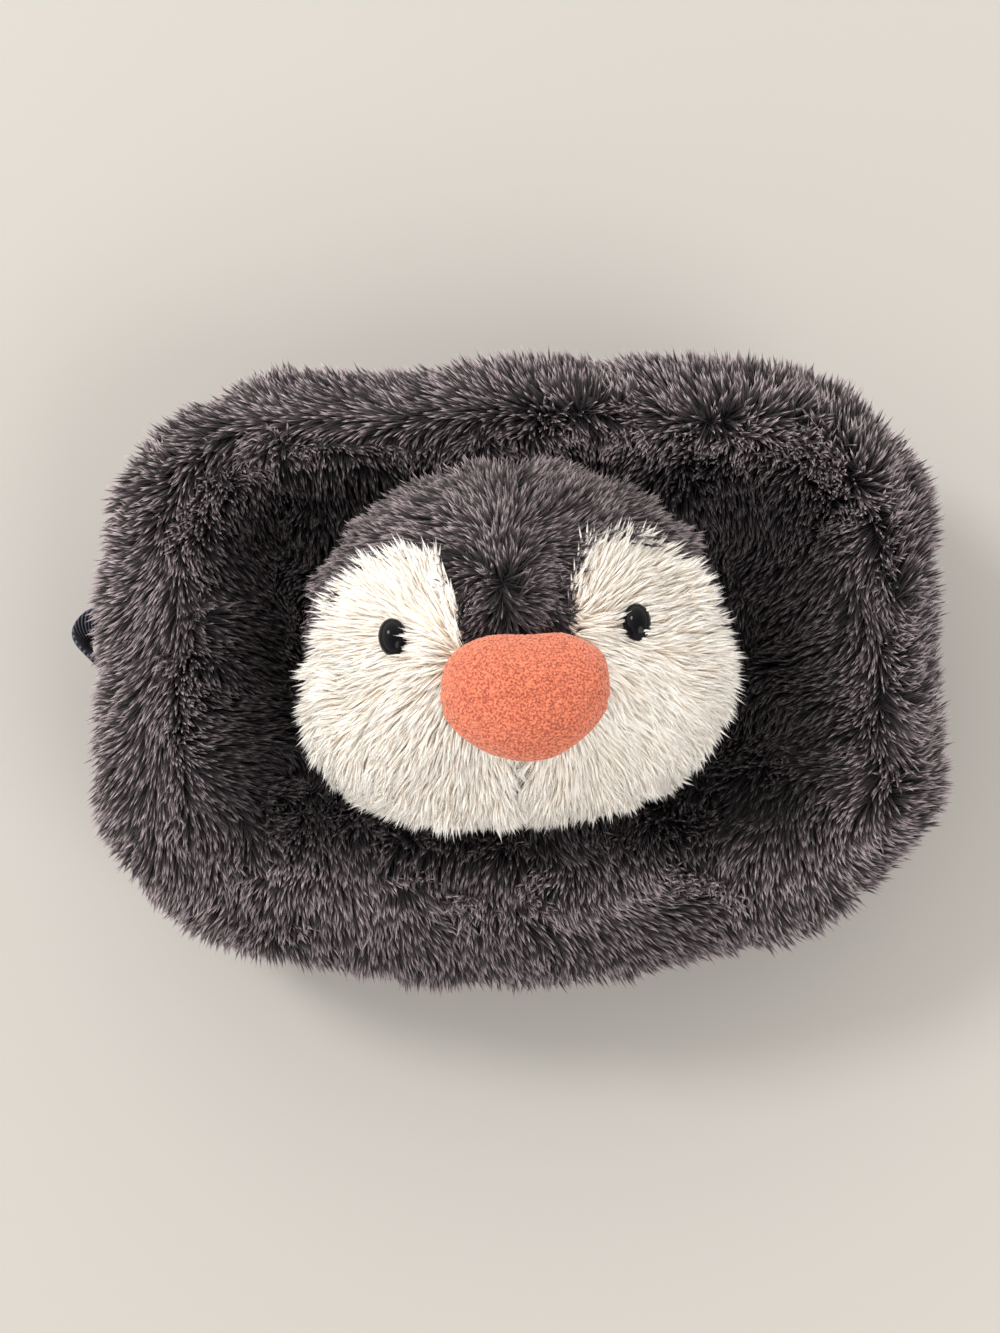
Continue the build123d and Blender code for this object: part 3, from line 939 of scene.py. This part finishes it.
def head_form():
    """The head's skin in its own axes: a flattened ball, fuller at the jowls, cut at the panel."""
    bm = bmesh.new()
    bmesh.ops.create_icosphere(bm, subdivisions=6, radius=1.0)
    half = np.array((HEAD_HALF_W + 1.8 * MM, HEAD_HALF_H + 3.8 * MM, HEAD_HALF_D)) - HEAD_SKIN_DEPTH
    for v in bm.verts:
        x, y, z = v.co
        jowl = float(smooth(-0.1, 0.35, -y) * smooth(0, 0.3, abs(x)))
        full = squareness(x, y, 2 + (1.1 if x < 0 else 0.6) * jowl)
        v.co = (x * half[0] * full, y * half[1] * full, z * half[2])
        groove = math.exp(-(x / 0.045) ** 2) * float(smooth(0.42, 0.6, -y)) * 3.5 * MM
        v.co -= Vector((x, y, z)).normalized() * groove
    cut(bm, (0, 0, -17 * MM), (0, 0, -1))
    return object_from("head_form", bm)


def in_cheek(x, y):
    """Whether a place on the face is pale, from the cheek's edge on its side in millimetres."""
    edge = np.array(RIGHT_EDGE if x > 0 else LEFT_EDGE) * MM
    return y < np.interp(abs(x), edge[:, 0], edge[:, 1])


# The noise that warps the crown's nap starts from this seed. Without one it starts from the clock, and the
# crown's strands lie differently at each run.
NAP_SEED = 5
noise.seed_set(NAP_SEED)
WHORL = np.array((-1.0, 17.0)) * MM
CHEEK_MIDDLES = np.array(((-22.0, -3.0), (20.0, 1.0))) * MM


def on_surface(comb, no):
    """A direction laid down on the skin, and turned down where the skin stands upright."""
    comb = comb + (0.0, 0.0, -0.7)
    flat = comb - no * np.sum(comb * no, axis=1)[:, None]
    return unit(flat) * np.minimum(np.linalg.norm(comb, axis=1), 1)[:, None]


def fanned(co, middle, spread):
    """A direction out from a place on the face all round, fading to nothing at the place itself."""
    away = np.column_stack([co[:, :2] - middle, np.zeros(len(co))])
    return away / np.sqrt(np.sum(away ** 2, axis=1) + spread ** 2)[:, None]


def crown_comb(co, no):
    """The crown's nap runs out from a whorl above the beak, parted down a line through it."""
    middle = np.column_stack([np.full(len(co), WHORL[0]), np.clip(co[:, 1], 11 * MM, 23 * MM)])
    warped = co + 6 * MM * np.array([noise.noise_vector(Vector(p) / (11 * MM)) for p in co])
    comb = fanned(warped, middle, 9 * MM)
    comb[:, 1] -= 0.4 * smooth(22 * MM, 6 * MM, co[:, 1])
    aside = co[:, 0] - WHORL[0]
    comb[:, 0] += 0.2 * (np.exp(-(aside / (9 * MM)) ** 2) * np.tanh(aside / (1.5 * MM)))
    return on_surface(comb, no)


def cheek_comb(co, no):
    """Each cheek's nap runs out from a place between the eye and the beak, and down over the jowl."""
    middle = CHEEK_MIDDLES[(co[:, 0] > 0).astype(int)]
    comb = 0.75 * fanned(co, middle, 14 * MM) + 0.45 * fanned(co, np.array((1.0, -20.0)) * MM, 10 * MM)
    jowl = smooth(8 * MM, 26 * MM, -co[:, 1])[:, None]
    meet = -0.7 * np.sign(co[:, 0]) * np.exp(-(co[:, 0] / (14 * MM)) ** 2)
    hang = np.column_stack([co[:, 0] / (55 * MM) + meet, np.full(len(co), -1.0), np.zeros(len(co))])
    return on_surface(comb * (1 - 0.75 * jowl) + hang * 0.9 * jowl, no)


EYES = {"eye_left": (-33.6, -1.4), "eye_right": (32.8, -0.6)}


def near_eye(co):
    """1 next to an eye and 0 away from it."""
    near = np.zeros(len(co))
    for x, y in EYES.values():
        gap = np.linalg.norm((co[:, :2] - np.array((x * 1.06, y)) * MM) * (2.6, 1.0), axis=1)
        near = np.maximum(near, np.where(co[:, 2] > 0, 1 - smooth(2.2 * MM, 4.6 * MM, gap), 0))
    return near


head_skin = head_form()
rumple(head_skin, 1.2 * MM, 24 * MM, 12)
head_co = points_of(head_skin)
eye_near = near_eye(head_co)
pale = np.array([in_cheek(x, y) for x, y in head_co[:, :2]])
head_no = normals_of(head_skin)
head_nap = np.where(pale[:, None], cheek_comb(head_co, head_no), crown_comb(head_co, head_no))
tongue_edge = smooth(4 * MM, 9 * MM, np.abs(head_co[:, 0] + 1 * MM)) * smooth(-21 * MM, -15 * MM, -head_co[:, 1])
whorl_near = (~pale) * np.exp(-(((head_co[:, :2] - WHORL) / (8 * MM, 16 * MM)) ** 2).sum(axis=1))
head_long = (1.0 - 0.5 * eye_near) * (1 - 0.4 * ((~pale) * tongue_edge) - 0.15 * whorl_near)
head_cover = 1.0 - 0.97 * eye_near + 0.9 * whorl_near
# The crown's pile gets painted light and shade: lighter over the top of the head and darker down towards the beak;
# the cheeks' pile gets none.
paint(head_skin, head_nap, head_long, head_cover,
      np.where(pale, 1.0, 1.22 - 0.5 * smooth(18 * MM, -12 * MM, head_co[:, 1])))

HEAD_PARTS = {
    "crown_panel": (lambda c: not in_cheek(c.x, c.y), "crown", "fur_charcoal"),
    "cheek_left": (lambda c: in_cheek(c.x, c.y) and c.x < 0, "left_cheek", "fur_cream"),
    "cheek_right": (lambda c: in_cheek(c.x, c.y) and c.x >= 0, "right_cheek", "fur_cream"),
}


def into_place(obj):
    """Moves a mesh from the head's axes to its place on the body."""
    obj.data.transform(HEAD_TO_FRAME)
    if "comb" in obj.data.attributes:
        layer = obj.data.attributes["comb"].data
        values = np.empty(len(layer) * 3)
        layer.foreach_get("vector", values)
        turned = values.reshape(-1, 3) @ np.array(HEAD_TO_FRAME.to_3x3()).T
        layer.foreach_set("vector", np.ascontiguousarray(turned).reshape(-1))
    obj.data.update()
    return obj


def head_pieces():
    """The head's three skins and their pile, the crown's pile in two halves."""
    for k, (cad_node, (test, label, slot)) in enumerate(HEAD_PARTS.items()):
        skin = into_place(part_of(label + "_skin", head_skin, test))
        if label == "crown":
            for side, word in ((-1, "left"), (1, "right")):
                half = part_of("half", skin, lambda c: (c.x - HEAD_AT.x) * side > 0)
                pile("crown_pile_" + word, half, CROWN_PILE, 200 + side, slot, "lid", fine_lock)
                bpy.data.objects.remove(half)
        else:
            pile(label + "_pile", skin, CHEEK_PILE, 200 + 7 * k, slot, "lid", fine_lock)
        back_them(skin, [cad_node], "lid", 0.8 * MM, FURS[slot][1])


head_pieces()
bpy.data.objects.remove(head_skin)


def fibre_lump(name, cad_node, half, middle, amount, seed):
    """Loose stuffing in a lump of its own, rough all over."""
    bm = bmesh.new()
    bmesh.ops.create_icosphere(bm, subdivisions=5, radius=1.0)
    for v in bm.verts:
        v.co = Vector([v.co[k] * half[k] + middle[k] for k in range(3)])
    lump = object_from(name, bm)
    rumple(lump, amount, 7 * MM, seed)
    rumple(lump, amount * 0.4, 2 * MM, seed + 5)
    dress(into_place(lump), stuffing_fibre, "lid", [cad_node])


stuffing_fibre = hard_material("stuffing fibre", (0.74, 0.74, 0.72), (0.90, 0.90, 0.88), 500, 0.9, 0.0)
fibre_lump("head_stuffing", "head_filling", (51 * MM, 40 * MM, 25 * MM), (0, 0, 5 * MM), 1.2 * MM, 4)
fibre_lump("beak_stuffing", "beak_filling", (17 * MM, 12 * MM, 9 * MM), (1.5 * MM, -20 * MM, 41 * MM),
           0.4 * MM, 9)


# ---------------------------------------------------------------- the beak
def fleece_material():
    """Curled fleece, dark between its curls: painted shade in the hollows of the same relief."""
    material, tree, shader = new_material("coral fleece")
    curls = object_noise(tree, 1700, 3)
    # The colour and the relief read one noise, so the hollows between the curls get painted shade.
    color = ramp(tree, curls, ((0.41, (0.24, 0.040, 0.018)), (0.59, (0.56, 0.150, 0.075))))
    fill_in(tree, shader, Base_Color=color, Normal=relief(tree, curls, 0.55, 0.7 * MM), Roughness=0.85,
            Sheen_Weight=0.35, Sheen_Roughness=0.5, Sheen_Tint=(1.0, 0.75, 0.6, 1))
    return material


coral_fleece = fleece_material()
BEAK_HALF = np.array((22.0, 17.2, 15.0)) * MM
BEAK_AT = Vector((1.5 * MM, -19.4 * MM, 38.5 * MM))
BEAK_SEAM_Y = BEAK_AT.y - 2 * MM


def beak_form():
    """The beak: a soft rounded block, flat along the top, narrower at the bottom."""
    bm = bmesh.new()
    bmesh.ops.create_icosphere(bm, subdivisions=7, radius=1.0)
    for v in bm.verts:
        x, y, z = v.co
        full = squareness(x, y, 2 + 0.8 * float(smooth(0.0, 0.5, y)))
        narrow = 1 - 0.14 * max(0.0, -y) ** 1.3 + 0.03 * x * y
        dip = 0.06 * math.exp(-((x - 0.15) / 0.35) ** 2) * max(0.0, y)
        v.co = (x * full * narrow * BEAK_HALF[0], (y * full * 0.97 - dip) * BEAK_HALF[1], z * BEAK_HALF[2])
        v.co += BEAK_AT
    cut(bm, (0, 0, 30 * MM), (0, 0, -1))
    obj = object_from("beak_form", bm)
    co = points_of(obj)
    mouth = np.exp(-((co[:, 1] - BEAK_SEAM_Y) / (1.0 * MM)) ** 2)
    curl = soft_noise(co, 0.9 * MM)
    fine = soft_noise(co, 0.55 * MM, Vector((7, 3, 1)))
    lumps = soft_noise(co, 9 * MM)
    push = 0.6 * MM * (0.4 - np.abs(curl)) + 0.25 * MM * fine + 0.5 * MM * lumps - 0.5 * MM * mouth
    set_points(obj, co + normals_of(obj) * push[:, None])
    return obj


beak_whole = beak_form()
for label, cad_node, test in (("beak_upper_skin", "beak_upper", lambda c: c.y >= BEAK_SEAM_Y),
                              ("beak_lower_skin", "beak_lower", lambda c: c.y < BEAK_SEAM_Y)):
    half_beak = into_place(part_of(label, beak_whole, test))
    dress(half_beak, coral_fleece, "lid", [cad_node])
bpy.data.objects.remove(beak_whole)


# ---------------------------------------------------------------- the eyes
def gloss_material():
    """Polished black plastic with a faint haze."""
    material, tree, shader = new_material("polished black")
    fill_in(tree, shader, Base_Color=(0.003, 0.003, 0.004, 1), Specular_IOR_Level=0.09,
            Roughness=map_range(tree, object_noise(tree, 350), To_Min=0.03, To_Max=0.10))
    return material


polished_black = gloss_material()
EYE_R = 5.1 * MM
EYE_SINK = 2.4 * MM
EYE_SHAPE = (1, 0.76, 0.7)


def eye_piece(name, cad_node):
    """A domed cap on its shank, at the CAD eye's place."""
    x, y = (c * MM for c in EYES[cad_node])
    z = HEAD_HALF_D * math.sqrt(1 - (x / HEAD_HALF_W) ** 2 - (y / HEAD_HALF_H) ** 2)
    straight = Vector((x / HEAD_HALF_W ** 2, y / HEAD_HALF_H ** 2, z / HEAD_HALF_D ** 2)).normalized()
    bm = bmesh.new()
    bmesh.ops.create_uvsphere(bm, u_segments=48, v_segments=32, radius=EYE_R)
    cut(bm, (0, 0, -1.2 * MM), (0, 0, -1))
    rim = [e for e in bm.edges if e.is_boundary]
    bmesh.ops.contextual_create(bm, geom=rim)
    bmesh.ops.scale(bm, vec=EYE_SHAPE, verts=bm.verts)
    shank = bmesh.ops.create_cone(bm, cap_ends=True, segments=24, radius1=1.6 * MM, radius2=1.6 * MM,
                                  depth=12 * MM)["verts"]
    bmesh.ops.translate(bm, vec=(0, 0, -7 * MM), verts=shank)
    turn = straight.to_track_quat("Z", "Y").to_matrix().to_4x4()
    sunk = Vector((x, y, z)) - straight * EYE_SINK
    bmesh.ops.transform(bm, matrix=Matrix.Translation(sunk) @ turn, verts=bm.verts)
    dress(into_place(object_from(name, bm)), polished_black, "lid", [cad_node])


eye_piece("eye_left_cap", "eye_left")
eye_piece("eye_right_cap", "eye_right")
for template_lock in (blunt_lock, fine_lock):
    bpy.data.objects.remove(template_lock)


# ---------------------------------------------------------------- floor, light and camera
def sky_light():
    """A soft even sky, brighter from one upper side, with a plain backdrop."""
    world = bpy.data.worlds.new("studio")
    bpy.context.scene.world = world
    world.use_nodes = True
    tree = world.node_tree
    way = tree_node(tree, "ShaderNodeTexCoord").outputs["Generated"]
    height = vectors(tree, "DOT_PRODUCT", way, (0.28, -0.28, 1.0))
    fade = map_range(tree, height, From_Min=-0.5, To_Min=4.3, To_Max=0.6)
    seen = tree_node(tree, "ShaderNodeLightPath").outputs["Is Camera Ray"]
    strength = tree_node(tree, "ShaderNodeMix", None, Factor=seen, A=fade, B=0.8)
    fill_in(tree, tree.nodes["Background"], Color=(1.0, 0.965, 0.92, 1), Strength=out(strength))


def stage():
    """A plain pale floor under soft light from above and two large lamps."""
    bm = bmesh.new()
    bmesh.ops.create_grid(bm, x_segments=2, y_segments=2, size=20.0)
    floor = object_from("floor", bm)
    material, tree, shader = new_material("pale floor")
    fill_in(tree, shader, Base_Color=(0.330, 0.315, 0.293, 1), Roughness=0.6)
    give(floor, material)
    sky_light()
    for name, place, size, power in (("key", (-2.2, 1.3, 3.0), 1.0, 90), ("fill", (1.9, -2.0, 2.6), 2.4, 80)):
        lamp = bpy.data.lights.new(name, "AREA")
        lamp.shape = "DISK"
        lamp.size = size
        lamp.energy = power
        obj = added(name, lamp)
        obj.location = place
        obj.rotation_euler = (Vector((0, 0, 0.05)) - Vector(place)).to_track_quat("-Z", "Y").to_euler()


CAMERA_AWAY = 0.60
CAMERA_TILT = math.radians(82)


def camera():
    """Almost straight above the penguin's face, a little from the side of its chin."""
    lens = bpy.data.cameras.new("camera")
    lens.sensor_width = 36
    lens.lens = 52.3
    lens.clip_start = 0.01
    obj = added("camera", lens)
    aim = Vector((-6.2 * MM, 0.0, ZIP_Z))
    away = Vector((0, -math.cos(CAMERA_TILT), math.sin(CAMERA_TILT)))
    obj.location = aim + away * CAMERA_AWAY
    obj.rotation_euler = (-away).to_track_quat("-Z", "Y").to_euler()
    bpy.context.scene.camera = obj
    bpy.context.scene.view_settings.view_transform = "Standard"


stage()
camera()
